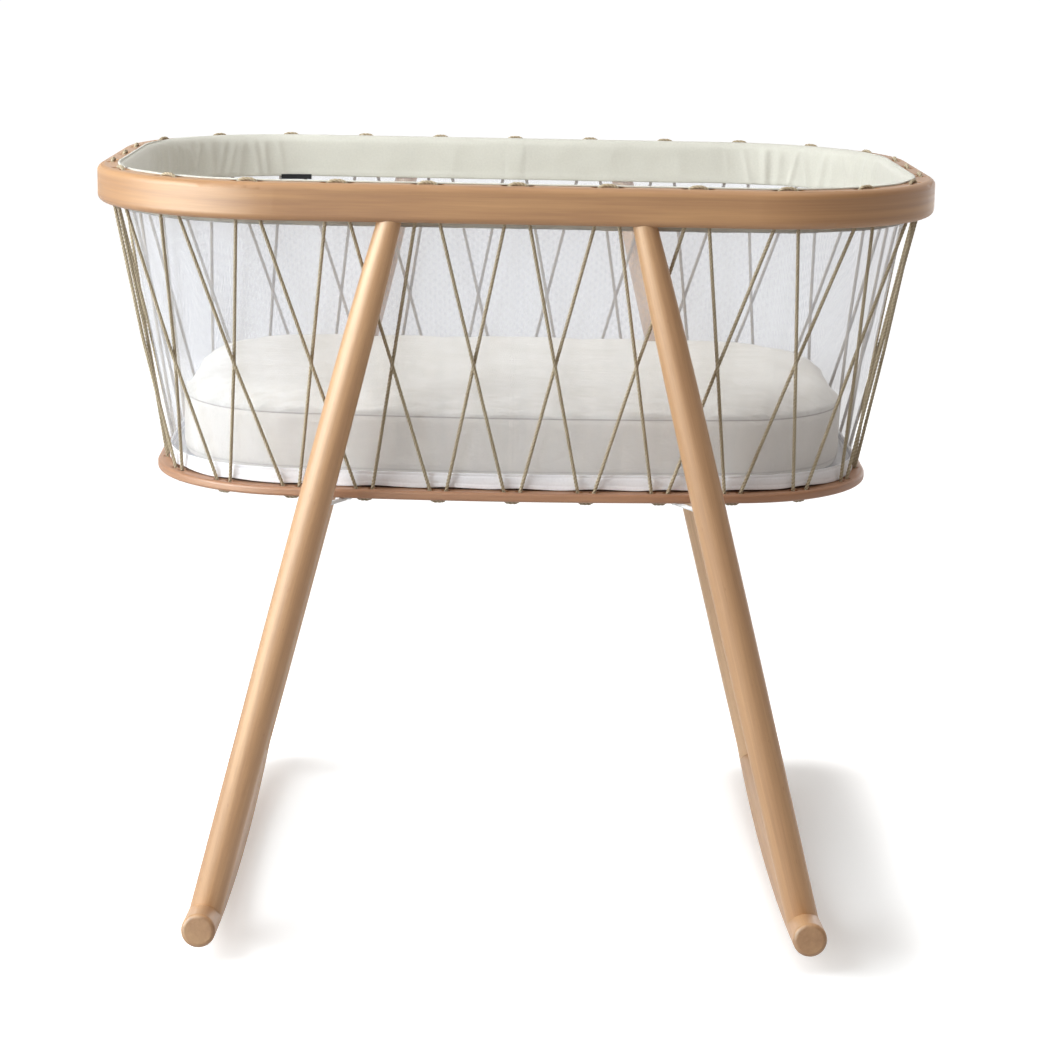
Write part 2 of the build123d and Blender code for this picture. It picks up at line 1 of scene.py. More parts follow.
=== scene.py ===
import bpy
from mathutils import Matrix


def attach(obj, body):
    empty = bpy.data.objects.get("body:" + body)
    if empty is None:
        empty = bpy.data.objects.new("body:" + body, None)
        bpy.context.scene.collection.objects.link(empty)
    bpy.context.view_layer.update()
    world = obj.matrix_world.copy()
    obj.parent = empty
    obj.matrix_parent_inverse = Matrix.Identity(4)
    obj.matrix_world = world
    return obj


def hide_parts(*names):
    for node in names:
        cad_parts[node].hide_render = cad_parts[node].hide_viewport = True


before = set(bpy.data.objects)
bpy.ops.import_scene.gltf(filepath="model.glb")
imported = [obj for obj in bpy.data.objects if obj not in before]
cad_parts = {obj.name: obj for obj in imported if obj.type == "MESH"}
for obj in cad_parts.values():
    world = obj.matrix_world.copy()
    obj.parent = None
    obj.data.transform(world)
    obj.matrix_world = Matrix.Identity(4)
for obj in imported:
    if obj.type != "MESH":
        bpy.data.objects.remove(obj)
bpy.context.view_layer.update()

import bpy, bmesh, math, random
from mathutils import Vector, Matrix, noise

PI = math.pi
MM = 0.001

# ------------------------------------------------------------------ dimensions
# metres here; the same ovals as the CAD model: half length, half width, side
# radius, end radius, corner radius (None: straight sides and ends)
RIM_TOP, RIM_BOTTOM = 0.814, 0.776
RING_TOP, RING_BOTTOM = 0.4925, 0.483
RIM_LINE = (0.4305, 0.2805, None, None, 0.187)
RING_LINE = (0.3784, 0.2375, 2.336, 2.402, 0.1524)
PAIRS = 28
RIM_GAP, RING_GAP = 0.0235, 0.016
LEG_R = ((0.0, 17.2), (234.0, 17.3), (474.0, 17.0), (604.0, 16.1), (694.0, 14.5), (784.0, 11.4))
ROCKER_X, LEG_Y, LEG_TOP_X, ROCKER_R = 0.319, 0.2805, 0.128, 2.500
FOOT_Z = 0.018 + ROCKER_R - math.sqrt(ROCKER_R ** 2 - LEG_Y ** 2)
LEG_L = math.hypot(ROCKER_X - LEG_TOP_X, RIM_BOTTOM - FOOT_Z)
LEAN_X, LEAN_Z = (ROCKER_X - LEG_TOP_X) / LEG_L, (RIM_BOTTOM - FOOT_Z) / LEG_L
BAND_TOP, BAND_BOTTOM = RIM_TOP + 0.0019, RIM_TOP - 0.047
LIP_OUT = 0.004         # rim hole line to the edge of the band's lip on the rim
HEM_TOP, HEM_BOTTOM = 0.510, 0.493
BAND_OFF = -0.0146      # band's outer side from the rim's hole line
HEM_OFF = -0.0030       # hem's outer side from the ring's hole line
MAT_OFF = -0.0125
MAT_BOTTOM, MAT_TOP = 0.4989, 0.586


def grow(line, d):
    return tuple(v if v is None else v + d for v in line)


def corner(line):
    a, b, ra, rb, rc = line
    if ra is None:
        return (a - rc, b - rc), 0.0, PI / 2
    p0, p1 = (0.0, b - ra), (a - rb, 0.0)
    r0, r1 = ra - rc, rb - rc
    dx, dy = p1[0] - p0[0], p1[1] - p0[1]
    d = math.hypot(dx, dy)
    k = (r0 * r0 - r1 * r1 + d * d) / (2 * d)
    h = math.sqrt(r0 * r0 - k * k)
    ex, ey = dx / d, dy / d
    best = max(((p0[0] + k * ex - s * h * ey, p0[1] + k * ey + s * h * ex) for s in (1, -1)), key=min)
    return best, math.atan2(best[1] - p1[1], best[0] - p1[0]), math.atan2(best[1] - p0[1], best[0] - p0[0])


def quarter(line):
    """Three stretches of the +X +Y quarter: length, and arc length to (x, y, nx, ny)."""
    a, b, ra, rb, rc = line
    c, t0, t1 = corner(line)

    def arc(cx, cy, r, start):
        def at(u):
            t = start + u / r
            return cx + r * math.cos(t), cy + r * math.sin(t), math.cos(t), math.sin(t)
        return at

    bend = (rc * (t1 - t0), arc(c[0], c[1], rc, t0))
    if ra is None:
        return [(c[1], lambda u: (a, u, 1.0, 0.0)), bend, (c[0], lambda u: (c[0] - u, b, 0.0, 1.0))]
    return [(rb * t0, arc(a - rb, 0, rb, 0)), bend, (ra * (PI / 2 - t1), arc(0, b - ra, ra, t1))]


class Oval:
    """An oval with arc length counted from the middle of the front (-Y) towards +X."""

    def __init__(self, line):
        self.arcs = quarter(line)
        self.q = sum(length for length, _ in self.arcs)
        self.length = 4 * self.q

    def at(self, s):
        n, u = divmod(s % self.length, self.q)
        n = int(n) % 4
        along = self.q - u if n in (0, 2) else u
        for length, f in self.arcs:
            if along <= length + 1e-12:
                break
            along -= length
        x, y, nx, ny = f(min(along, length))
        sx, sy = ((1, -1), (1, 1), (-1, 1), (-1, -1))[n]
        return sx * x, sy * y, sx * nx, sy * ny

    def share(self, f):
        return self.at(f * self.length)


# ------------------------------------------------------------------- node help
def material(name):
    m = bpy.data.materials.new(name)
    m.use_nodes = True
    nt = m.node_tree
    for n in list(nt.nodes):
        nt.nodes.remove(n)
    out = nt.nodes.new("ShaderNodeOutputMaterial")
    b = nt.nodes.new("ShaderNodeBsdfPrincipled")
    nt.links.new(b.outputs[0], out.inputs[0])
    return m, nt, b


def put(nt, socket, value):
    if isinstance(value, bpy.types.NodeSocket):
        nt.links.new(value, socket)
    else:
        socket.default_value = value


def op(nt, kind, a, b=None, c=None, clamp=False):
    n = nt.nodes.new("ShaderNodeMath")
    n.operation = kind
    n.use_clamp = clamp
    for i, v in enumerate((a, b, c)):
        if v is not None:
            put(nt, n.inputs[i], v)
    return n.outputs[0]


def vec(nt, x, y, z):
    n = nt.nodes.new("ShaderNodeCombineXYZ")
    for i, v in enumerate((x, y, z)):
        put(nt, n.inputs[i], v)
    return n.outputs[0]


def coords(nt):
    """Row-frame x, y, z of the rest shape."""
    t = nt.nodes.new("ShaderNodeTexCoord")
    s = nt.nodes.new("ShaderNodeSeparateXYZ")
    nt.links.new(t.outputs["Object"], s.inputs[0])
    return s.outputs[0], s.outputs[1], s.outputs[2]


def uv(nt):
    t = nt.nodes.new("ShaderNodeUVMap")
    t.uv_map = "UVMap"
    s = nt.nodes.new("ShaderNodeSeparateXYZ")
    nt.links.new(t.outputs[0], s.inputs[0])
    return s.outputs[0], s.outputs[1]


def noise_tex(nt, v, scale=1.0, detail=3.0, rough=0.5, distortion=0.0):
    n = nt.nodes.new("ShaderNodeTexNoise")
    put(nt, n.inputs["Vector"], v)
    n.inputs["Scale"].default_value = scale
    n.inputs["Detail"].default_value = detail
    n.inputs["Roughness"].default_value = rough
    n.inputs["Distortion"].default_value = distortion
    return n.outputs["Fac"]


def ramp(nt, fac, stops, interp="LINEAR"):
    n = nt.nodes.new("ShaderNodeValToRGB")
    n.color_ramp.interpolation = interp
    e = n.color_ramp.elements
    while len(e) < len(stops):
        e.new(0.5)
    for el, (p, c) in zip(e, stops):
        el.position = p
        el.color = (*c, 1) if len(c) == 3 else c
    put(nt, n.inputs[0], fac)
    return n.outputs[0]


def mix(nt, fac, a, b, blend="MIX"):
    n = nt.nodes.new("ShaderNodeMix")
    n.data_type = "RGBA"
    n.blend_type = blend
    put(nt, n.inputs[0], fac)
    put(nt, n.inputs[6], (*a, 1) if isinstance(a, tuple) and len(a) == 3 else a)
    put(nt, n.inputs[7], (*b, 1) if isinstance(b, tuple) and len(b) == 3 else b)
    return n.outputs[2]


def maprange(nt, v, a, b, c, d, smooth=False):
    n = nt.nodes.new("ShaderNodeMapRange")
    if smooth:
        n.interpolation_type = "SMOOTHSTEP"
    for i, x in enumerate((v, a, b, c, d)):
        put(nt, n.inputs[i], x)
    return n.outputs[0]


def bump(nt, height, strength, distance):
    n = nt.nodes.new("ShaderNodeBump")
    n.inputs["Strength"].default_value = strength
    n.inputs["Distance"].default_value = distance
    put(nt, n.inputs["Height"], height)
    return n.outputs[0]


def srgb(r, g, b):
    def f(c):
        c /= 255.0
        return c / 12.92 if c <= 0.04045 else ((c + 0.055) / 1.055) ** 2.4
    return (f(r), f(g), f(b))


# -------------------------------------------------------------------- materials
def beech(name, where, seed, light=(201, 157, 109), mid=(185, 139, 92), dark=(166, 120, 75), figure=1.0, ends=None):
    """Matte lacquered beech. where(nt) gives along, across, across, in metres."""
    m, nt, b = material(name)
    u, v, w = where(nt)
    u = op(nt, "ADD", u, seed * 3.71)

    def stretched(along, across, push=None, **kw):
        vv = op(nt, "MULTIPLY", v, across)
        if push is not None:
            vv = op(nt, "ADD", vv, push)
        return noise_tex(nt, vec(nt, op(nt, "MULTIPLY", u, along), vv, op(nt, "MULTIPLY", w, across)), **kw)

    # slow drift of tone, growth rings drawn out along the grain, fine fibres
    broad = stretched(1.6, 22, detail=2)
    warp = stretched(1.3, 12, detail=1)
    rings = stretched(2.4, 120, op(nt, "MULTIPLY", warp, 6.0), detail=3, rough=0.6)
    fibre = stretched(16, 1100, detail=2, rough=0.65)
    tone = op(nt, "ADD", op(nt, "MULTIPLY", broad, 0.40), op(nt, "ADD", op(nt, "MULTIPLY", rings, 0.45 * figure), op(nt, "MULTIPLY", fibre, 0.15)))
    col = ramp(nt, tone, [(0.36, srgb(*dark)), (0.50, srgb(*mid)), (0.66, srgb(*light))])
    # short ray flecks, faint, and a few small darker spots
    fleck = maprange(nt, stretched(210, 1300, detail=0), 0.68, 0.80, 0.0, 1.0, True)
    col = mix(nt, op(nt, "MULTIPLY", fleck, 0.22), col, srgb(160, 114, 76))
    spot = maprange(nt, stretched(75, 190, detail=1), 0.75, 0.82, 0.0, 1.0, True)
    col = mix(nt, op(nt, "MULTIPLY", spot, 0.40), col, srgb(158, 106, 66))
    if ends:
        # end grain takes the lacquer darker
        y = coords(nt)[1]
        face = maprange(nt, op(nt, "ABSOLUTE", y), ends - 0.004, ends - 0.0015, 0.0, 1.0, True)
        col = mix(nt, face, col, (0.72, 0.70, 0.68), "MULTIPLY")
    put(nt, b.inputs["Base Color"], col)
    put(nt, b.inputs["Roughness"], maprange(nt, fibre, 0.3, 0.7, 0.46, 0.58))
    b.inputs["Specular IOR Level"].default_value = 0.9
    b.inputs["Sheen Weight"].default_value = 0.08
    b.inputs["Sheen Roughness"].default_value = 0.5
    height = op(nt, "ADD", op(nt, "MULTIPLY", fibre, 0.7), op(nt, "MULTIPLY", fleck, -0.4))
    put(nt, b.inputs["Normal"], bump(nt, height, 0.12, 0.0003))
    return m


def where_hoop(cx, cy, around):
    def where(nt):
        x, y, z = coords(nt)
        ax = op(nt, "MAXIMUM", op(nt, "SUBTRACT", op(nt, "ABSOLUTE", x), cx), 0.0)
        ay = op(nt, "MAXIMUM", op(nt, "SUBTRACT", op(nt, "ABSOLUTE", y), cy), 0.0)
        d = op(nt, "SQRT", op(nt, "ADD", op(nt, "MULTIPLY", ax, ax), op(nt, "MULTIPLY", ay, ay)))
        u = op(nt, "MULTIPLY", op(nt, "ARCTAN2", x, op(nt, "MULTIPLY", y, -1.0)), around)
        return u, d, z
    return where


def where_leg(sx):
    def where(nt):
        x, y, z = coords(nt)
        u = op(nt, "ADD", op(nt, "MULTIPLY", x, -sx * LEAN_X), op(nt, "MULTIPLY", z, LEAN_Z))
        w = op(nt, "ADD", op(nt, "MULTIPLY", x, sx * LEAN_Z), op(nt, "MULTIPLY", z, LEAN_X))
        return u, y, w
    return where


def where_rocker(nt):
    x, y, z = coords(nt)
    return y, x, op(nt, "SUBTRACT", z, op(nt, "MULTIPLY", op(nt, "MULTIPLY", y, y), 0.5 / ROCKER_R))


def cotton(name, color, thread=0.00055, shade=0.06, rough=0.85, sheen=0.25, use_uv=True, bump_by=0.25):
    """Plain weave cotton; thread is the spacing of its threads."""
    m, nt, b = material(name)
    if use_uv:
        u, v = uv(nt)
        flat = vec(nt, u, v, 0.0)
    else:
        x, y, z = coords(nt)
        u, v = x, op(nt, "ADD", y, z)
        flat = vec(nt, x, y, z)
    k = 2 * PI / thread
    jitter = noise_tex(nt, flat, scale=160, detail=2)
    wu = op(nt, "SINE", op(nt, "ADD", op(nt, "MULTIPLY", u, k), op(nt, "MULTIPLY", jitter, 5.0)))
    wv = op(nt, "SINE", op(nt, "ADD", op(nt, "MULTIPLY", v, k), op(nt, "MULTIPLY", jitter, 5.0)))
    weave = op(nt, "MULTIPLY", wu, wv)
    slub = noise_tex(nt, flat, scale=420, detail=3, rough=0.6)
    soft = noise_tex(nt, flat, scale=18, detail=3)
    c = color
    low = tuple(max(0.0, x * (1 - shade * 1.6)) for x in c)
    high = tuple(min(1.0, x * (1 + shade * 0.6)) for x in c)
    tone = op(nt, "ADD", op(nt, "MULTIPLY", slub, 0.5), op(nt, "ADD", op(nt, "MULTIPLY", soft, 0.4), op(nt, "MULTIPLY", weave, 0.05)))
    put(nt, b.inputs["Base Color"], ramp(nt, tone, [(0.25, low), (0.65, high)]))
    put(nt, b.inputs["Roughness"], maprange(nt, slub, 0.3, 0.7, rough - 0.06, min(1.0, rough + 0.06)))
    b.inputs["Sheen Weight"].default_value = sheen
    b.inputs["Sheen Roughness"].default_value = 0.5
    b.inputs["Specular IOR Level"].default_value = 0.15
    height = op(nt, "ADD", op(nt, "MULTIPLY", weave, 0.4), slub)
    put(nt, b.inputs["Normal"], bump(nt, height, bump_by, 0.0002))
    return m


def quilted(name, color, seam_color, seam_z, foot_z):
    """Mattress cover: crinkled along X on top, thin sewn line round its upper edge and its foot."""
    m, nt, b = material(name)
    x, y, z = coords(nt)
    fine = noise_tex(nt, vec(nt, x, y, z), scale=900, detail=2, rough=0.6)
    soft = noise_tex(nt, vec(nt, x, y, z), scale=14, detail=3)
    crinkle = noise_tex(nt, vec(nt, op(nt, "MULTIPLY", x, 34), op(nt, "MULTIPLY", y, 190), op(nt, "MULTIPLY", z, 60)), detail=3, rough=0.55, distortion=0.4)
    tone = op(nt, "ADD", op(nt, "MULTIPLY", crinkle, 0.55), op(nt, "ADD", op(nt, "MULTIPLY", soft, 0.3), op(nt, "MULTIPLY", fine, 0.15)))
    low = tuple(c * f for c, f in zip(color, (0.86, 0.84, 0.81)))
    col = ramp(nt, tone, [(0.34, low), (0.56, color)])
    # painted shade: the side, below the top seam, is tinted darker and warmer than the top, as it gets less light
    side = maprange(nt, z, seam_z - 0.001, seam_z, 1.0, 0.0)
    col = mix(nt, side, col, tuple(c * f for c, f in zip(color, (1.0, 0.975, 0.95))), "MIX")
    for at, strong in ((seam_z, 0.8), (foot_z, 0.5)):
        line = maprange(nt, op(nt, "ABSOLUTE", op(nt, "SUBTRACT", z, at)), 0.0004, 0.0011, strong, 0.0)
        col = mix(nt, line, col, seam_color)
    put(nt, b.inputs["Base Color"], col)
    b.inputs["Roughness"].default_value = 0.88
    b.inputs["Sheen Weight"].default_value = 0.2
    b.inputs["Specular IOR Level"].default_value = 0.15
    put(nt, b.inputs["Normal"], bump(nt, op(nt, "ADD", crinkle, op(nt, "MULTIPLY", fine, 0.08)), 0.55, 0.0035))
    return m


def mesh_fabric(name, color, alpha=0.55):
    """See-through net: fine hexagonal-looking holes that open and close softly."""
    m, nt, b = material(name)
    u, v = uv(nt)
    k = 2 * PI / 0.0011
    a = op(nt, "SINE", op(nt, "MULTIPLY", u, k))
    c = op(nt, "SINE", op(nt, "ADD", op(nt, "MULTIPLY", u, 0.5 * k), op(nt, "MULTIPLY", v, 0.866 * k)))
    d = op(nt, "SINE", op(nt, "SUBTRACT", op(nt, "MULTIPLY", u, 0.5 * k), op(nt, "MULTIPLY", v, 0.866 * k)))
    net = op(nt, "ADD", a, op(nt, "ADD", c, d))
    drift = noise_tex(nt, vec(nt, op(nt, "MULTIPLY", u, 30), op(nt, "MULTIPLY", v, 5), 0.0), detail=2)
    al = op(nt, "ADD", op(nt, "MULTIPLY", net, 0.05), maprange(nt, drift, 0.3, 0.7, alpha - 0.02, alpha + 0.02), clamp=True)
    put(nt, b.inputs["Alpha"], al)
    put(nt, b.inputs["Base Color"], ramp(nt, drift, [(0.3, tuple(x * 0.97 for x in color)), (0.7, color)]))
    b.inputs["Roughness"].default_value = 0.6
    b.inputs["Specular IOR Level"].default_value = 0.2
    b.inputs["Sheen Weight"].default_value = 0.2
    put(nt, b.inputs["Normal"], bump(nt, net, 0.15, 0.0002))
    return m


def rope_fabric(name):
    m, nt, b = material(name)
    u, v = uv(nt)
    # groove: 1 deep in the valleys between the strands; below it darkens the colour there, as painted shade
    att = nt.nodes.new("ShaderNodeAttribute")
    att.attribute_name = "groove"
    groove = att.outputs["Fac"]
    fine = noise_tex(nt, vec(nt, op(nt, "MULTIPLY", u, 900), op(nt, "MULTIPLY", v, 14), 0.0), detail=3, rough=0.6)
    slow = noise_tex(nt, vec(nt, op(nt, "MULTIPLY", u, 25), 0.0, 0.0), detail=2)
    tone = op(nt, "ADD", op(nt, "MULTIPLY", fine, 0.6), op(nt, "MULTIPLY", slow, 0.4))
    col = ramp(nt, tone, [(0.3, srgb(164, 148, 122)), (0.5, srgb(190, 174, 146)), (0.72, srgb(208, 194, 168))])
    # painted shade: the valleys between the strands are darkened towards a dark brown
    col = mix(nt, op(nt, "MULTIPLY", groove, 0.6), col, srgb(112, 96, 72))
    put(nt, b.inputs["Base Color"], col)
    b.inputs["Roughness"].default_value = 0.8
    b.inputs["Specular IOR Level"].default_value = 0.2
    b.inputs["Sheen Weight"].default_value = 0.15
    put(nt, b.inputs["Normal"], bump(nt, fine, 0.4, 0.0002))
    return m


def painted(name, color, rough=0.4):
    m, nt, b = material(name)
    x, y, z = coords(nt)
    peel = noise_tex(nt, vec(nt, x, y, z), scale=900, detail=2)
    put(nt, b.inputs["Base Color"], ramp(nt, peel, [(0.3, tuple(c * 0.96 for c in color)), (0.7, color)]))
    put(nt, b.inputs["Roughness"], maprange(nt, peel, 0.3, 0.7, rough - 0.06, rough + 0.08))
    put(nt, b.inputs["Normal"], bump(nt, peel, 0.1, 0.0001))
    return m


def zinc(name):
    m, nt, b = material(name)
    x, y, z = coords(nt)
    wear = noise_tex(nt, vec(nt, x, y, z), scale=700, detail=3)
    put(nt, b.inputs["Base Color"], ramp(nt, wear, [(0.3, (0.42, 0.42, 0.43)), (0.7, (0.62, 0.62, 0.62))]))
    b.inputs["Metallic"].default_value = 1.0
    put(nt, b.inputs["Roughness"], maprange(nt, wear, 0.3, 0.7, 0.28, 0.5))
    return m


def hardboard(name):
    # dark brown board: the brown is the hardboard's own, and its darkness is also painted shade, standing in for the
    # shadow gap above the ring
    m, nt, b = material(name)
    x, y, z = coords(nt)
    fuzz = noise_tex(nt, vec(nt, op(nt, "MULTIPLY", x, 300), op(nt, "MULTIPLY", y, 300), op(nt, "MULTIPLY", z, 900)), detail=4, rough=0.7)
    put(nt, b.inputs["Base Color"], ramp(nt, fuzz, [(0.3, srgb(52, 32, 18)), (0.7, srgb(92, 60, 36))]))
    b.inputs["Roughness"].default_value = 0.75
    put(nt, b.inputs["Normal"], bump(nt, fuzz, 0.3, 0.0003))
    return m


M_RIM = beech("beech_rim", where_hoop(0.2435, 0.0935, 0.40), 1, light=(178, 130, 77), mid=(159, 111, 62), dark=(139, 92, 49))
M_RING = beech("beech_ring", where_hoop(0.2248, 0.0735, 0.34), 2, light=(168, 118, 77), mid=(151, 101, 62), dark=(132, 85, 49))
M_LEG = {
    "front_left": beech("beech_leg_front_left", where_leg(-1), 3),
    "front_right": beech("beech_leg_front_right", where_leg(1), 4),
    # the rear legs get a lighter tone than the front ones: painted light, for the light that wraps round them from the
    # white backdrop
    "rear_left": beech("beech_leg_rear_left_painted_light", where_leg(-1), 5, light=(232, 193, 149), mid=(219, 177, 134), dark=(201, 158, 116)),
    "rear_right": beech("beech_leg_rear_right_painted_light", where_leg(1), 6, light=(234, 196, 152), mid=(221, 180, 137), dark=(203, 161, 119)),
}
M_ROCKER = {"left": beech("beech_rocker_left", where_rocker, 7, ends=0.341), "right": beech("beech_rocker_right", where_rocker, 8, ends=0.341)}
M_ROPE = rope_fabric("rope")
M_BAND = cotton("ivory_cotton", srgb(211, 209, 198), thread=0.0006)
M_HEM = cotton("white_cotton", srgb(244, 243, 246), thread=0.0006)
M_FLOOR = cotton("floor_cotton", srgb(236, 236, 238), thread=0.0006)
M_MESH = mesh_fabric("white_mesh", srgb(200, 202, 211), 0.33)
M_MATTRESS = quilted("mattress_cotton", srgb(247, 243, 236), srgb(176, 168, 160), MAT_TOP - 0.0205, MAT_BOTTOM + 0.010)
M_LABEL = cotton("black_ribbon", srgb(22, 22, 24), thread=0.0004, sheen=0.4, rough=0.55)
M_STEEL = painted("white_steel", srgb(236, 237, 238), 0.38)
M_ZINC = zinc("zinc")
M_BOARD = hardboard("hardboard")


def assign(node, mat):
    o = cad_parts[node]
    if not o.material_slots:
        o.data.materials.append(mat)
    for s in o.material_slots:
        s.material = mat


assign("rim", M_RIM)
assign("base_ring", M_RING)
for c, m in M_LEG.items():
    assign("leg_" + c, m)
    assign("stay_" + c, M_STEEL)
for c, m in M_ROCKER.items():
    assign("rocker_" + c, m)
assign("base_panel", M_BOARD)
for n in ("rocker_bolts", "leg_lock_screws", "stay_screws", "panel_screws"):
    assign(n, M_ZINC)


# --------------------------------------------------------------------- meshes
def make(name, verts, faces, mat, uvs=None, smooth=True):
    me = bpy.data.meshes.new(name)
    me.from_pydata(verts, [], faces)
    me.update()
    if uvs is not None:
        layer = me.uv_layers.new(name="UVMap")
        flat = [0.0] * (2 * len(me.loops))
        for i, loop in enumerate(me.loops):
            flat[2 * i:2 * i + 2] = uvs[loop.vertex_index]
        layer.data.foreach_set("uv", flat)
    if smooth:
        me.polygons.foreach_set("use_smooth", [True] * len(me.polygons))
    me.materials.append(mat)
    o = bpy.data.objects.new(name, me)
    bpy.context.scene.collection.objects.link(o)
    return o


def grid_faces(rows, cols, wrap_cols=True, wrap_rows=False):
    """Quads of a grid stored column by column: index = col * rows + row."""
    faces = []
    for c in range(cols if wrap_cols else cols - 1):
        d = (c + 1) % cols
        for r in range(rows if wrap_rows else rows - 1):
            q = (r + 1) % rows
            faces.append((c * rows + r, d * rows + r, d * rows + q, c * rows + q))
    return faces


# ----------------------------------------------------------------------- rope
RIM_OVAL, RING_OVAL = Oval(RIM_LINE), Oval(RING_LINE)


def rim_end(k, side):
    x, y, _, _ = RIM_OVAL.at(k * RIM_OVAL.length / PAIRS + side * RIM_GAP / 2)
    return Vector((x, y, RIM_BOTTOM + 0.0025))


def ring_end(k, side):
    x, y, _, _ = RING_OVAL.at(k * RING_OVAL.length / PAIRS + side * RING_GAP / 2)
    return Vector((x, y, RING_TOP - 0.0025))


def closest(p, q, r, s):
    u, v, w = q - p, s - r, p - r
    a, b, c, d, e = u.dot(u), u.dot(v), v.dot(v), u.dot(w), v.dot(w)
    k = a * c - b * b
    return p + u * ((b * e - c * d) / k), r + v * ((a * e - b * d) / k), u.cross(v).normalized()


def crossing(k, out):
    m, n, across = closest(rim_end(k, 1), ring_end(k + 1, -1), rim_end(k + 1, -1), ring_end(k, 1))
    mid = (m + n) * 0.5
    if across.dot(Vector((mid.x, mid.y, 0))) < 0:
        across = -across
    return mid + across * (0.00215 * out)


def leg_radius(t):
    t *= 1000
    for (t0, r0), (t1, r1) in zip(LEG_R, LEG_R[1:]):
        if t <= t1:
            return (r0 + (r1 - r0) * (t - t0) / (t1 - t0)) * MM
    return LEG_R[-1][1] * MM


def behind_leg(p, q):
    for sx in (-1, 1):
        for sy in (-1, 1):
            foot = Vector((sx * ROCKER_X, sy * LEG_Y, FOOT_Z))
            up = Vector((-sx * LEAN_X, 0, LEAN_Z))
            on_leg, on_rope, across = closest(foot, foot + up * LEG_L, p, q)
            if across.y * sy > 0:
                across = -across
            room = leg_radius((on_leg - foot).dot(up)) + 0.002 + 0.0006
            if (on_rope - on_leg).length < room and p.z > on_rope.z > q.z:
                return [on_leg + across * room]
    return []


def span(k, side, out):
    p, q = rim_end(k, side), ring_end(k + side, -side)
    bend = behind_leg(p, q)
    mid = crossing(k if side > 0 else k - 1, out)
    return [p] + bend + [mid, q], [0.030] + [0.060] * len(bend) + [0.200, 0.030]


def lacing_route(first):
    top, low = RIM_TOP + 0.00205, RING_BOTTOM - 0.00205
    start = PAIRS // 2 + first
    points, radii = [], []
    for k in range(start, start + PAIRS, 2):
        down, down_r = span(k, 1, 1)
        up, up_r = span(k + 2, -1, -1)
        a, b, c, d = rim_end(k, -1), down[0], down[-1], up[-1]
        points += [Vector((a.x, a.y, top)), Vector((b.x, b.y, top))] + down
        points += [Vector((c.x, c.y, low)), Vector((d.x, d.y, low))] + up[::-1]
        radii += [0.0098, 0.0098] + down_r + [0.0050, 0.0050] + up_r[::-1]
    joint = Vector((points[0].x, points[0].y, RIM_BOTTOM + 0.020))
    return [joint + Vector((0, 0, 0.0002))] + points + [joint - Vector((0, 0, 0.0002))], radii


def rounded(points, radii, step):
    """Points along straight runs joined by tangent arcs, about step apart."""
    out = [points[0]]
    for i in range(1, len(points) - 1):
        p, c, n = points[i - 1], points[i], points[i + 1]
        a, b = (p - c).normalized(), (n - c).normalized()
        ang = a.angle(b)
        turn = PI - ang
        r = radii[i - 1]
        cut = r * math.tan(turn / 2)
        centre = c + (a + b).normalized() * (r / math.cos(turn / 2))
        s, e = c + a * cut, c + b * cut
        m = max(1, round((s - out[-1]).length / step))
        base = out[-1]
        out += [base.lerp(s, j / m) for j in range(1, m + 1)]
        m = max(2, math.ceil(r * turn / step), math.ceil(turn / math.radians(18)))
        x, y = (s - centre).normalized(), None
        axis = x.cross((e - centre).normalized()).normalized()
        y = axis.cross(x)
        out += [centre + (x * math.cos(turn * j / m) + y * math.sin(turn * j / m)) * r for j in range(1, m + 1)]
    m = max(1, round((points[-1] - out[-1]).length / step))
    base = out[-1]
    out += [base.lerp(points[-1], j / m) for j in range(1, m + 1)]
    return out


# strand section: angle, radius in mm, and the groove weight that the rope's material uses for painted shade in the
# valleys
STRAND = [(0, 2.10, 0.0), (30, 1.93, 0.15), (60, 1.52, 1.0), (90, 1.93, 0.15)]


def rope(name, first, lay=0.0125, step=0.0016):
    line = rounded(*lacing_route(first), step)
    prof = [(math.radians(120 * s + a), r * MM, g) for s in range(3) for a, r, g in STRAND]
    n = len(prof)
    verts, uvs, groove = [], [], []
    t = (line[1] - line[0]).normalized()
    x = t.orthogonal().normalized()
    s = 0.0
    for i, p in enumerate(line):
        if i:
            s += (p - line[i - 1]).length
        nt = (line[min(i + 1, len(line) - 1)] - line[max(i - 1, 0)]).normalized()
        x = (x - nt * x.dot(nt)).normalized()
        y = nt.cross(x)
        tw = 2 * PI * s / lay
        for j, (a, r, g) in enumerate(prof):
            verts.append(p + (x * math.cos(a + tw) + y * math.sin(a + tw)) * r)
            uvs.append((s, j / n))
            groove.append(g)
    faces = grid_faces(n, len(line), wrap_cols=False, wrap_rows=True)
    for end, flip in ((0, False), (len(line) - 1, True)):
        verts.append(line[end].copy())
        uvs.append((0, 0))
        groove.append(0.5)
        hub = len(verts) - 1
        for j in range(n):
            a, b = end * n + j, end * n + (j + 1) % n
            faces.append((hub, b, a) if flip else (hub, a, b))
    o = make(name, verts, faces, M_ROPE, uvs)
    # the groove weight goes onto the mesh for the painted shade in the valleys
    att = o.data.attributes.new("groove", "FLOAT", "POINT")
    att.data.foreach_set("value", groove)
    return o, s


for which, first in (("even", 0), ("odd", 1)):
    o, long = rope("rope_" + which, first)
    print("rope", which, "length %.3f" % long)
    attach(o, "cradle")
    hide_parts("lacing_" + which)


# ---------------------------------------------------------------- liner: walls
def lerp(a, b, t):
    return a + (b - a) * t


def smooth01(t):
    t = max(0.0, min(1.0, t))
    return t * t * (3 - 2 * t)


def loop_sheet(name, cols, profile, place, mat, closed, uv_scale):
    """A sheet that runs right round. profile: list of r; place(f, r): point. closed: the profile is a loop."""
    rows = len(profile)
    verts, uvs = [], []
    for c in range(cols):
        f = c / cols
        for r in profile:
            p, v = place(f, r)
            verts.append(p)
            uvs.append((f * uv_scale, v))
    return make(name, verts, grid_faces(rows, cols, True, closed), mat, uvs)


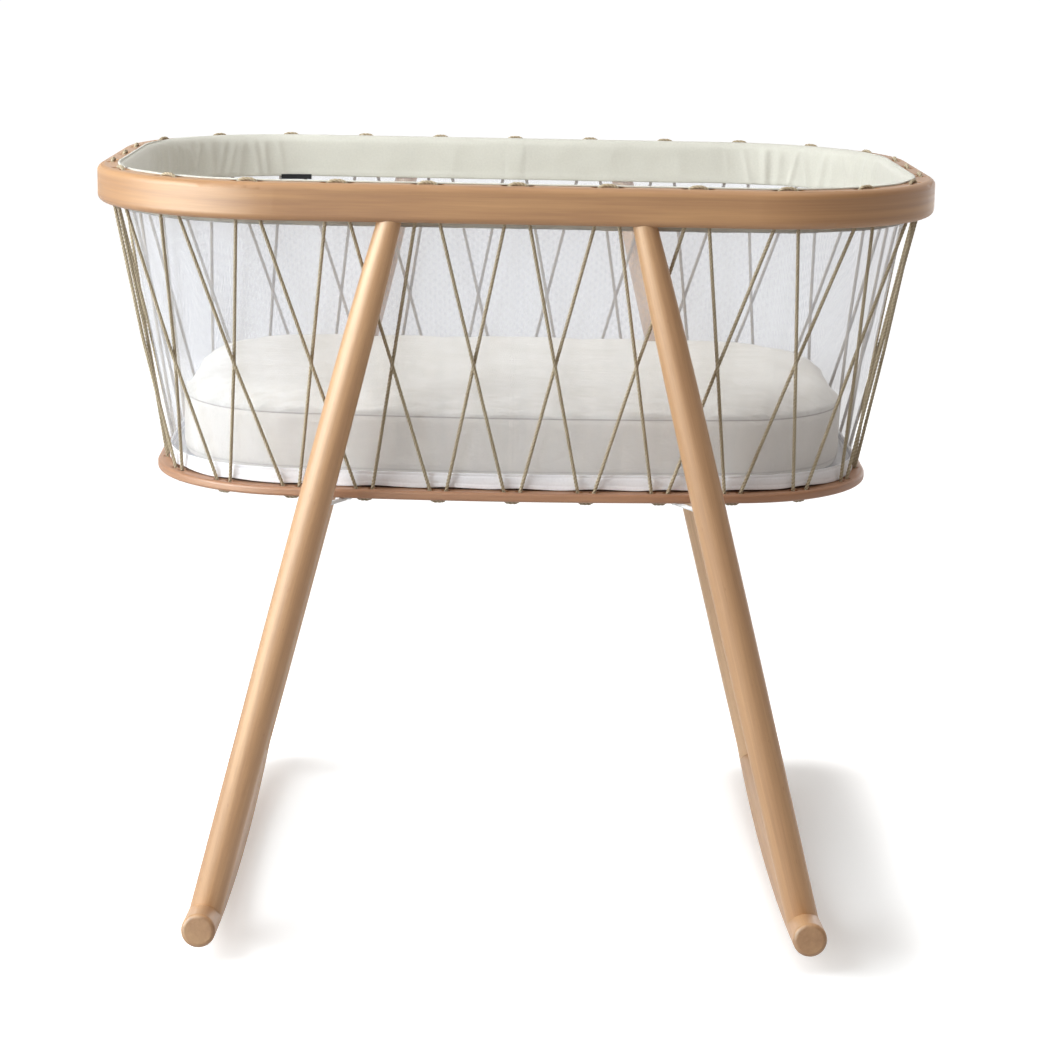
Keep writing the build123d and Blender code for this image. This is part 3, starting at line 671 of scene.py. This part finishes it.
def ridges(seed, length, spots, per, width, tilt):
    """Folds across a strip of that length: (place, amplitude, half width, lean)."""
    r = random.Random(seed)
    out = []
    for lo, hi, amp in spots:
        s = lo + r.uniform(0.2, 1.0) * per
        while s < hi:
            edge = min(1.0, (s - lo) / 0.05, (hi - s) / 0.05)
            out.append((s % length, amp * max(0.15, edge) * r.uniform(0.45, 1.0), width * r.uniform(0.7, 1.5), tilt * r.uniform(-1, 1)))
            s += per * r.uniform(0.65, 1.5)
    return out


def fold_height(folds, length, s, h):
    """Inward height of the folds at place s and height h above the strip's middle."""
    total = 0.0
    for s0, a, w, lean in folds:
        d = (s - s0 - lean * h + length / 2) % length - length / 2
        if abs(d) < 3.2 * w:
            total += a * math.exp(-(d / w) ** 2)
    return total


BAND_LINE = grow(RIM_LINE, BAND_OFF)
BAND_OVAL = Oval(BAND_LINE)
BAND_L = BAND_OVAL.length
(bcx, bcy), _, _ = corner(BAND_LINE)
# arc lengths where the corners begin and end, from the middle of the front
corner_len = BAND_LINE[4] * PI / 2
FRONT_RIGHT = (bcx, bcx + corner_len)
BACK_RIGHT = (BAND_L / 2 - bcx - corner_len, BAND_L / 2 - bcx)
BACK_LEFT = (BAND_L / 2 + bcx, BAND_L / 2 + bcx + corner_len)
FRONT_LEFT = (BAND_L - bcx - corner_len, BAND_L - bcx)
band_folds = ridges(11, BAND_L, [(a, b, 0.0032) for a, b in (FRONT_RIGHT, BACK_RIGHT, BACK_LEFT, FRONT_LEFT)], 0.017, 0.0042, 0.30)
band_folds += ridges(12, BAND_L, [(0.0, BAND_L, 0.0007)], 0.060, 0.010, 0.6)
SEAM_W = 0.0085


# the band's section, from its foot up the rim's face, over the rim's rounded
# edge and out on the rim: (distance in from the face, height, outward normal)
ROUND_R = 0.0072
BAND_T = 0.0012


def band_section():
    c = ROUND_R - 0.0001
    pts = [(0.0, lerp(BAND_BOTTOM, RIM_TOP - c, i / 20), 1.0, 0.0) for i in range(21)]
    for i in range(1, 9):
        a = PI / 2 * i / 8
        pts.append((ROUND_R * math.cos(a) - ROUND_R, RIM_TOP - c + ROUND_R * math.sin(a), math.cos(a), math.sin(a)))
    lip = BAND_OFF + LIP_OUT
    for i in range(1, 4):
        pts.append((lerp(-ROUND_R, lip, i / 3), RIM_TOP + 0.0001, 0.0, 1.0))
    return pts


LIP_IN = 0.0055
FOOT_UP = 0.0022        # the band's foot sits a little higher along the front
SECTION = band_section()
LAST = len(SECTION) - 1
SECTION_V = [0.0]
for a, b in zip(SECTION, SECTION[1:]):
    SECTION_V.append(SECTION_V[-1] + math.hypot(b[0] - a[0], b[1] - a[1]))


def band_point(f, r):
    """r: 0..LAST along the side against the wood, then back along the other."""
    s = f * BAND_L
    x, y, nx, ny = BAND_OVAL.at(s)
    i = r if r <= LAST else 2 * LAST + 1 - r
    inner = r > LAST
    d, z, du, dz = SECTION[i]
    w = fold_height(band_folds, BAND_L, s, z - (BAND_TOP + BAND_BOTTOM) / 2)
    w += 0.0006 * (1 + noise.noise(Vector((x * 30, y * 30, z * 60))))
    # flat beside the label; the folds die out over the rim's edge, and are held by the seam at the foot
    w *= 1 - 0.9 * math.exp(-((s - BAND_L / 2 - 0.2625) / 0.024) ** 2)
    w *= smooth01((RIM_TOP + 0.001 - z) / 0.016)
    w *= 0.55 + 0.45 * smooth01((z - BAND_BOTTOM) / 0.006)
    # doubled edge at the foot, and the sewn lap at the middle of the back
    t = BAND_T + 0.0005 * (1 - smooth01((z - BAND_BOTTOM - 0.0055) / 0.0012))
    t += 0.0005 * (1 - smooth01((abs(s - BAND_L / 2) - SEAM_W) / 0.0015))
    if dz > 0.9:
        # loose edge on the rim, pulled in at its two ends
        out = (i - (LAST - 3)) / 3
        d += LIP_IN * out * smooth01((abs(nx) - 0.80) / 0.19)
        d += 0.0010 * noise.noise(Vector((s * 17, 9.0, 0))) * out
        if inner:
            t = BAND_T + 0.0003 + 0.0003 * noise.noise(Vector((s * 55, 6.0, 0)))
        if i == LAST:
            d += 0.0004 if inner else 0.0
    k = w + (t if inner else 0.0)
    sag = 0.0010 * noise.noise(Vector((s * 14, 3.0, 0))) * smooth01((RIM_TOP - 0.025 - z) / 0.02)
    d, z = d + du * k, z + dz * k + sag + FOOT_UP * smooth01(-1.5 * ny) * (1 - smooth01((z - BAND_BOTTOM) / 0.02))
    return Vector((x - nx * d, y - ny * d, z)), SECTION_V[i]


band = loop_sheet("liner_band_cloth", 1100, list(range(2 * LAST + 2)), band_point, M_BAND, True, BAND_L)
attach(band, "cradle")
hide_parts("liner_band")

# see-through wall
MESH_LOW, MESH_HIGH = grow(RING_LINE, -0.0038), grow(RIM_LINE, -0.0153)
mesh_low, mesh_high = Oval(MESH_LOW), Oval(MESH_HIGH)
MESH_Z0, MESH_Z1 = 0.503, 0.7685
mesh_folds = ridges(21, BAND_L, [(a, b, 0.0030) for a, b in (FRONT_RIGHT, BACK_RIGHT, BACK_LEFT, FRONT_LEFT)], 0.045, 0.012, 0.10)
mesh_folds += ridges(22, BAND_L, [(0.0, BAND_L, 0.0012)], 0.12, 0.030, 0.12)


def corner_share(f):
    s = f * BAND_L
    best = 0.0
    for a, b in (FRONT_RIGHT, BACK_RIGHT, BACK_LEFT, FRONT_LEFT):
        best = max(best, smooth01(min((s - a + 0.06) / 0.12, (b + 0.06 - s) / 0.12)))
    return best


def mesh_point(f, r):
    lx, ly, lnx, lny = mesh_low.share(f)
    hx, hy, hnx, hny = mesh_high.share(f)
    z = lerp(MESH_Z0, MESH_Z1 + FOOT_UP * smooth01(-1.5 * hny), r)
    t = (z - 0.510) / (0.767 - 0.510)
    x, y = lerp(lx, hx, t), lerp(ly, hy, t)
    nx, ny = lerp(lnx, hnx, t), lerp(lny, hny, t)
    s = f * BAND_L
    h = z - 0.639
    w = fold_height(mesh_folds, BAND_L, s, h) * math.sin(PI * min(1, max(0, 0.06 + 0.9 * r)))
    w += 0.0022 * math.sin(PI * r) * (0.6 + noise.noise(Vector((f * 22, r * 1.7, 5.0))))
    w *= smooth01(r / 0.05) * smooth01((1 - r) / 0.03)
    return Vector((x - nx * w, y - ny * w, z)), z


wall = loop_sheet("liner_mesh_wall", 560, [i / 40 for i in range(41)], mesh_point, M_MESH, False, 2.27)
wall.visible_shadow = False
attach(wall, "cradle")
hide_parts("liner_mesh")

# hem along the foot of the mesh
HEM_LINE = grow(RING_LINE, HEM_OFF)
HEM_OVAL = Oval(HEM_LINE)
HEM_L = HEM_OVAL.length
hem_folds = ridges(31, HEM_L, [(0.0, HEM_L, 0.0007)], 0.032, 0.007, 0.5)


def hem_point(f, r):
    s = f * HEM_L
    x, y, nx, ny = HEM_OVAL.at(s)
    up = r if r <= 1 else 2 - r
    wave = 0.5 + 0.9 * noise.noise(Vector((s * 9, 8.0, 0))) + 0.25 * math.sin(s * 2 * PI / (HEM_L / 28) + 0.6)
    low = HEM_BOTTOM + 0.0002 + 0.0026 * max(0.0, min(1.0, wave))
    z = lerp(low, HEM_TOP + 0.0003, up)
    w = 0.3 * fold_height(hem_folds, HEM_L, s, z - 0.501)
    puff = 0.0004 * math.sin(s * 2 * PI / (HEM_L / 56) + 1.0) * (1 - up)
    seam = z - HEM_TOP + 0.0026
    foot = z - low - 0.0046
    t = 0.0013 + 0.0005 * (1 - smooth01((foot + 0.0004) / 0.0015)) - 0.0005 * math.exp(-(seam / 0.0008) ** 2)
    outer = 0.0 if r <= 1 else t
    groove = 0.0004 * math.exp(-(seam / 0.0007) ** 2) + 0.0003 * math.exp(-(foot / 0.0006) ** 2)
    d = w + puff + outer + (groove if r <= 1 else 0.0)
    return Vector((x - nx * d, y - ny * d, z)), z


hem_rows = [0.0, 0.06, 0.14, 0.2, 0.25, 0.3, 0.35, 0.45, 0.56, 0.68, 0.76, 0.81, 0.85, 0.89, 0.93, 0.97, 1.0]
hem = loop_sheet("liner_hem_cloth", 900, hem_rows + [2 - r for r in reversed(hem_rows[:-1])] + [], hem_point, M_HEM, True, HEM_L)
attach(hem, "cradle")
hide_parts("liner_hem")


# floor of the liner, under the mattress
def filled_oval(name, line, rings, cols, height, mat, z_low):
    """Closed thin sheet; height(x, y) is its top."""
    oval = Oval(line)
    verts, uvs = [], []
    for c in range(cols):
        x, y, _, _ = oval.share(c / cols)
        for side in (0, 1):
            for i in range(rings):
                k = (1 - (i / rings) ** 1.0) if side == 0 else ((i + 1) / rings)
                px, py = x * k, y * k
                z = height(px, py) if side == 0 else z_low + (height(px, py) - z_low) * 0.0
                verts.append(Vector((px, py, z)))
                uvs.append((px, py))
    rows = 2 * rings
    faces = []
    for c in range(cols):
        d = (c + 1) % cols
        for r in range(rows):
            q = (r + 1) % rows
            if r == rings - 1:
                continue
            faces.append((c * rows + r, d * rows + r, d * rows + q, c * rows + q))
    top_hub, low_hub = len(verts), len(verts) + 1
    verts += [Vector((0, 0, height(0, 0))), Vector((0, 0, z_low))]
    uvs += [(0, 0), (0, 0)]
    for c in range(cols):
        d = (c + 1) % cols
        faces.append((c * rows + rings - 1, d * rows + rings - 1, top_hub))
        faces.append((d * rows + rings, c * rows + rings, low_hub))
    return make(name, verts, faces, mat, uvs)


floor_line = grow(RING_LINE, -0.0048)
fl = filled_oval("liner_floor_cloth", floor_line, 34, 260, lambda x, y: 0.4983 + 0.00012 * noise.noise(Vector((x * 40, y * 40, 1))), M_FLOOR, 0.4977)
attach(fl, "cradle")
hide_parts("liner_floor")

# blank ribbon label in the band's lower seam, at the back left
back = BAND_L / 2
label_s0, label_w, label_h = None, 0.0355, 0.0062
tab_oval = Oval(grow(RIM_LINE, BAND_OFF - 0.0019))
verts, uvs = [], []
cols, rows = 44, 12
for side in (0, 1):
    for c in range(cols + 1):
        for r in range(rows + 1):
            x = lerp(-0.2805, -0.2445, c / cols)
            up = r / rows
            # the oval's back, found by its x
            lo, hi = 0.5 * tab_oval.length, 0.75 * tab_oval.length
            for _ in range(26):
                mid = (lo + hi) / 2
                if tab_oval.at(mid)[0] > x:
                    lo = mid
                else:
                    hi = mid
            px, py, nx, ny = tab_oval.at(lo)
            z = lerp(0.7632, 0.7690, up)
            curl = 0.0004 * (1 - up) ** 2 + 0.00015 * math.sin(c * 0.5)
            d = curl + (0.0006 if side else 0.0)
            verts.append(Vector((px - nx * d, py - ny * d, z)))
            uvs.append((px, z))
n1 = (cols + 1) * (rows + 1)
faces = []
for c in range(cols):
    for r in range(rows):
        a, b, d, e = c * (rows + 1) + r, (c + 1) * (rows + 1) + r, (c + 1) * (rows + 1) + r + 1, c * (rows + 1) + r + 1
        faces.append((a, b, d, e))
        faces.append((n1 + e, n1 + d, n1 + b, n1 + a))
rim_ids = [c * (rows + 1) for c in range(cols + 1)] + [cols * (rows + 1) + r for r in range(1, rows + 1)]
rim_ids += [c * (rows + 1) + rows for c in range(cols - 1, -1, -1)] + [r for r in range(rows - 1, 0, -1)]
for i, a in enumerate(rim_ids):
    b = rim_ids[(i + 1) % len(rim_ids)]
    faces.append((b, a, n1 + a, n1 + b))
label = make("label_ribbon", verts, faces, M_LABEL, uvs)
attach(label, "cradle")
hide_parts("label_tab")


# -------------------------------------------------------------------- mattress
MAT_LINE = grow(RING_LINE, MAT_OFF)


def mattress_start(inset, cols=150):
    """The pad before it is filled: an oval box with rounded edges."""
    oval = Oval(grow(MAT_LINE, -inset))
    top, low = MAT_TOP - inset * 1.1, MAT_BOTTOM + 0.0004
    prof = []
    rt, rl = 0.016, 0.008
    for i in range(7):
        a = PI / 2 * i / 6
        prof.append((rl - rl * math.sin(a), low + rl - rl * math.cos(a)))
    prof = [(p[0], p[1]) for p in prof]
    for i in range(1, 8):
        prof.append((0.0, lerp(low + rl, top - rt, i / 8)))
    for i in range(7):
        a = PI / 2 * i / 6
        prof.append((rt - rt * math.cos(a), top - rt + rt * math.sin(a)))
    verts = []
    inner = 18
    shades = {}
    for c in range(cols):
        x, y, nx, ny = oval.share(c / cols)
        for d, z in prof:
            verts.append(Vector((x - nx * d, y - ny * d, z)))
    rows = len(prof)
    faces = grid_faces(rows, cols, True, False)
    for end, flip in ((0, True), (rows - 1, False)):
        hub = len(verts)
        verts.append(Vector((0, 0, prof[end][1])))
        for c in range(cols):
            a, b = c * rows + end, ((c + 1) % cols) * rows + end
            faces.append((hub, b, a) if flip else (hub, a, b))
    return make("mattress_pad", verts, faces, M_MATTRESS)


def quilt(x, y):
    """Crinkle of the quilted top: short shallow dents along X. -1..1"""
    a = noise.noise(Vector((x * 32, y * 150, 2.0)))
    b = noise.noise(Vector((x * 70 + 9, y * 260, 7.0)))
    return 0.65 * a + 0.35 * b


pad = mattress_start(0.0035)
bpy.context.view_layer.objects.active = pad
rem = pad.modifiers.new("remesh", "REMESH")
rem.mode = "VOXEL"
rem.voxel_size = 0.0065
bpy.ops.object.select_all(action="DESELECT")
pad.select_set(True)
bpy.ops.object.modifier_apply(modifier=rem.name)
start = [v.co.copy() for v in pad.data.vertices]
cl = pad.modifiers.new("cloth", "CLOTH")
cl.settings.quality = 6
cl.settings.mass = 0.3
cl.settings.tension_stiffness = 18
cl.settings.compression_stiffness = 18
cl.settings.shear_stiffness = 8
cl.settings.bending_stiffness = 1.5
cl.settings.use_pressure = True
cl.settings.uniform_pressure_force = 4.0
cl.settings.effector_weights.gravity = 0.0
cl.point_cache.frame_start, cl.point_cache.frame_end = 1, 20
scene = bpy.context.scene
for fr in range(1, 21):
    scene.frame_set(fr)
dg = bpy.context.evaluated_depsgraph_get()
ev = pad.evaluated_get(dg)
moved = [v.co.copy() for v in ev.data.vertices]
pad.modifiers.remove(cl)
scene.frame_set(1)
far = 0.0
for v, a, b in zip(pad.data.vertices, start, moved):
    d = b - a
    far = max(far, d.length)
    cap = 0.0085 if a.z > MAT_TOP - 0.012 else 0.0032
    if d.length > cap:
        d *= cap / d.length
    v.co = a + d
print("mattress swell: most %.4f" % far)
sub = pad.modifiers.new("sub", "SUBSURF")
sub.levels = 1
sub.render_levels = 1
bpy.ops.object.modifier_apply(modifier=sub.name)

# what the sewing does: an edge seam round the top, one round the foot, a crinkled top
mcx, mcy = corner(MAT_LINE)[0]


def inward(x, y):
    """Distance in from the mattress's outer line, roughly, and the outward direction."""
    ax, ay = abs(x), abs(y)
    if ax > mcx and ay > mcy:
        dx, dy = ax - mcx, ay - mcy
        d = math.hypot(dx, dy)
        n = (dx / d, dy / d) if d > 1e-9 else (0.7, 0.7)
        dist = MAT_LINE[4] - d
    elif (ax - mcx) > (ay - mcy):
        n, dist = (1.0, 0.0), MAT_LINE[0] - MAT_LINE[3] + math.sqrt(MAT_LINE[3] ** 2 - ay ** 2) - ax
    else:
        n, dist = (0.0, 1.0), MAT_LINE[1] - MAT_LINE[2] + math.sqrt(MAT_LINE[2] ** 2 - ax ** 2) - ay
    return dist, (math.copysign(n[0], x), math.copysign(n[1], y))


SEAM_Z = MAT_TOP - 0.0205
for v in pad.data.vertices:
    x, y, z = v.co
    dist, (nx, ny) = inward(x, y)
    if z > 0.559 and dist > 0.006:
        k = smooth01((dist - 0.006) / 0.02)
        v.co.z += k * 0.0011 * quilt(x, y) + k * 0.0016 * noise.noise(Vector((x * 6, y * 9, 4)))
    if dist < 0.022:
        g = 0.0016 * math.exp(-((z - SEAM_Z) / 0.0026) ** 2)
        g += 0.0010 * math.exp(-((z - MAT_BOTTOM - 0.010) / 0.0024) ** 2)
        g += 0.0006 * noise.noise(Vector((x * 28, y * 28, z * 14))) * smooth01((z - MAT_BOTTOM) / 0.02)
        v.co.x -= nx * g
        v.co.y -= ny * g
        v.co.z -= 0.3 * g if z > SEAM_Z else 0.0
    # stays inside the liner and on its floor
    dist, (nx, ny) = inward(v.co.x, v.co.y)
    if dist < 0.0004:
        v.co.x -= nx * (0.0004 - dist)
        v.co.y -= ny * (0.0004 - dist)
    v.co.z = min(max(v.co.z, MAT_BOTTOM), MAT_TOP + 0.006)
pad.data.polygons.foreach_set("use_smooth", [True] * len(pad.data.polygons))
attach(pad, "mattress")
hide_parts("mattress")

# -------------------------------------------------------------- floor and light
def plain(name, color, rough=0.9):
    m, nt, b = material(name)
    b.inputs["Base Color"].default_value = (*color, 1)
    b.inputs["Roughness"].default_value = rough
    b.inputs["Specular IOR Level"].default_value = 0.1
    return m


WORLD, FLOOR_NEAR, FLOOR_FAR = 0.39, 0.24, 0.69
me = bpy.data.meshes.new("studio_floor")
verts, faces = [], []
prof = [(-30.0, 0.0), (9.0, 0.0)] + [(9.0 + 3 * math.sin(a), 3 - 3 * math.cos(a)) for a in [PI / 2 * i / 12 for i in range(1, 13)]] + [(12.0, 20.0)]
for y, z in prof:
    verts += [(-40, y, z), (40, y, z)]
for i in range(len(prof) - 1):
    faces.append((2 * i, 2 * i + 1, 2 * i + 3, 2 * i + 2))
me.from_pydata(verts, [], faces)
me.update()
studio = bpy.data.objects.new("studio_floor", me)
bpy.context.scene.collection.objects.link(studio)
me.polygons.foreach_set("use_smooth", [True] * len(me.polygons))
m, nt, b = material("studio_white")
fx, fy, fz = coords(nt)
b.inputs["Roughness"].default_value = 0.95
b.inputs["Specular IOR Level"].default_value = 0.0
b.inputs["Emission Color"].default_value = (1.0, 1.0, 1.0, 1)
# a light-table floor, dimmer along the rockers so that their shadows show
ax = op(nt, "SUBTRACT", op(nt, "ABSOLUTE", op(nt, "SUBTRACT", fx, 0.06)), ROCKER_X)
ay = op(nt, "MAXIMUM", op(nt, "SUBTRACT", op(nt, "ABSOLUTE", fy), 0.30), 0.0)
away = op(nt, "SQRT", op(nt, "ADD", op(nt, "MULTIPLY", ax, ax), op(nt, "MULTIPLY", ay, ay)))
far = maprange(nt, away, 0.15, 0.45, 0.0, 1.0, True)
near = maprange(nt, away, 0.03, 0.15, maprange(nt, fx, -0.30, 0.38, FLOOR_NEAR + 0.10, FLOOR_NEAR - 0.11), FLOOR_FAR, True)
put(nt, b.inputs["Emission Strength"], op(nt, "ADD", near, op(nt, "MULTIPLY", far, 0.26)))
put(nt, b.inputs["Base Color"], mix(nt, far, (0.93, 0.93, 0.93), (0.22, 0.22, 0.22)))
me.materials.append(m)
studio.visible_diffuse = False

# a white wall right round, far off, that lights nothing
me = bpy.data.meshes.new("studio_wall")
verts, faces = [], []
for i in range(72):
    a = 2 * PI * i / 72
    verts += [(28 * math.cos(a), 28 * math.sin(a), -0.5), (28 * math.cos(a), 28 * math.sin(a), 60.0)]
    j = (i + 1) % 72
    faces.append((2 * i, 2 * j, 2 * j + 1, 2 * i + 1))
me.from_pydata(verts, [], faces)
me.update()
surround = bpy.data.objects.new("studio_wall", me)
bpy.context.scene.collection.objects.link(surround)
m, nt, b = material("studio_wall_white")
b.inputs["Base Color"].default_value = (0.0, 0.0, 0.0, 1)
b.inputs["Specular IOR Level"].default_value = 0.0
b.inputs["Emission Color"].default_value = (1.0, 1.0, 1.0, 1)
b.inputs["Emission Strength"].default_value = 1.03
me.materials.append(m)
surround.visible_diffuse = False
surround.visible_glossy = False
surround.visible_shadow = False

world = bpy.data.worlds.new("studio")
bpy.context.scene.world = world
world.use_nodes = True
bg = world.node_tree.nodes["Background"]
bg.inputs[0].default_value = (1.0, 0.96, 0.91, 1)
bg.inputs[1].default_value = WORLD


def area(name, at, to, size, power, color=(1, 1, 1)):
    l = bpy.data.lights.new(name, "AREA")
    l.shape = "RECTANGLE"
    l.size, l.size_y = size
    l.energy = power
    l.color = color
    o = bpy.data.objects.new(name, l)
    bpy.context.scene.collection.objects.link(o)
    o.location = at
    o.rotation_euler = (Vector(to) - Vector(at)).to_track_quat("-Z", "Y").to_euler()
    o.visible_camera = False
    return o


area("key", (-2.0, -1.15, 1.44), (0, 0, 0.5), (2.1, 2.1), 82, (0.91, 0.965, 1.0))
area("top", (0.0, -0.5, 3.0), (0, 0, 0.3), (2.8, 2.8), 33)
area("back", (0.6, 3.2, 0.62), (0, 0, 0.35), (4.5, 1.1), 34)

# a white card for the gloss on the side that faces the window
card = area("card", (-2.1, -1.45, 1.0), (0, 0, 0.5), (2.6, 1.8), 104, (0.78, 0.97, 1.0))
card.visible_diffuse = False

bpy.context.scene.view_settings.view_transform = "Standard"

cam = bpy.data.cameras.new("camera")
cam.lens, cam.sensor_width, cam.sensor_fit = 90.09, 36.0, "HORIZONTAL"
cam.clip_end = 200
co = bpy.data.objects.new("camera", cam)
bpy.context.scene.collection.objects.link(co)
right, up, fwd = Vector((0.99979, -0.00625, 0.0188)), Vector((-0.01691, 0.2256, 0.97407)), Vector((0.01033, 0.97421, -0.22545))
co.matrix_world = Matrix(((right.x, up.x, -fwd.x, -0.0191), (right.y, up.y, -fwd.y, -2.8831), (right.z, up.z, -fwd.z, 1.0745), (0, 0, 0, 1)))
bpy.context.scene.camera = co
